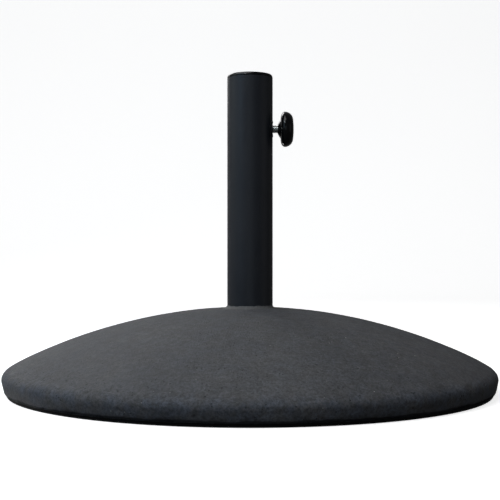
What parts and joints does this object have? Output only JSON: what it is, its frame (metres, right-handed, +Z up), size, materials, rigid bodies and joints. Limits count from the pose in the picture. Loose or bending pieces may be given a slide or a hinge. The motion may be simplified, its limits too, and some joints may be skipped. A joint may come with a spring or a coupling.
{
  "type": "parasol base",
  "caption": "Round domed concrete parasol base with a steel pole socket, a plastic mouth collar and a hand-turned clamp screw.",
  "frame": {"origin": "centre of the footprint on the ground, under the pole socket's axis", "axes": "+Z up along the pole socket, +X along the clamp screw towards its knob"},
  "size_m": [0.4806, 0.4806, 0.3115],
  "materials": {
    "cast_concrete": "matte cast concrete, dyed dark grey, fine grain",
    "powder_coated_steel": "satin anthracite powder coat",
    "glossy_black_plastic": "glossy black moulded plastic",
    "black_moulding": "matte black moulded plastic",
    "black_rubber": "matte black rubber",
    "bare_steel": "mill-finish drawn steel bar",
    "zinc_plated_steel": "bright zinc plate",
    "white_nylon": "natural nylon"
  },
  "bodies": {
    "stand": {"concrete_weight": "cast_concrete", "base_tray": "black_moulding", "foot_pads": "black_rubber", "socket_tube": "powder_coated_steel", "tube_collar": "glossy_black_plastic", "pole_stop": "black_moulding", "anchor_rod_x": "bare_steel", "anchor_rod_y": "bare_steel", "reinforcing_hoop": "bare_steel", "tie_wires": "bare_steel", "threaded_bush": "powder_coated_steel"},
    "thrust": {"thrust_pad": "white_nylon"},
    "clamp": {"clamp_screw": "zinc_plated_steel", "clamp_knob": "glossy_black_plastic"}
  },
  "joints": [
    {"name": "clamp_feed", "type": "slide", "parent": "stand", "child": "thrust", "axis": [-1, 0, 0], "range_m": [0, 0.005]},
    {"name": "clamp_turn", "type": "hinge", "parent": "thrust", "child": "clamp", "pos_m": [0.03, 0, 0.2575], "axis": [-1, 0, 0], "range_deg": [0, 1440]}
  ],
  "couplings": [
    {"joint": "clamp_feed", "follows": "clamp_turn", "m_per_rad": 0.0001989}
  ]
}
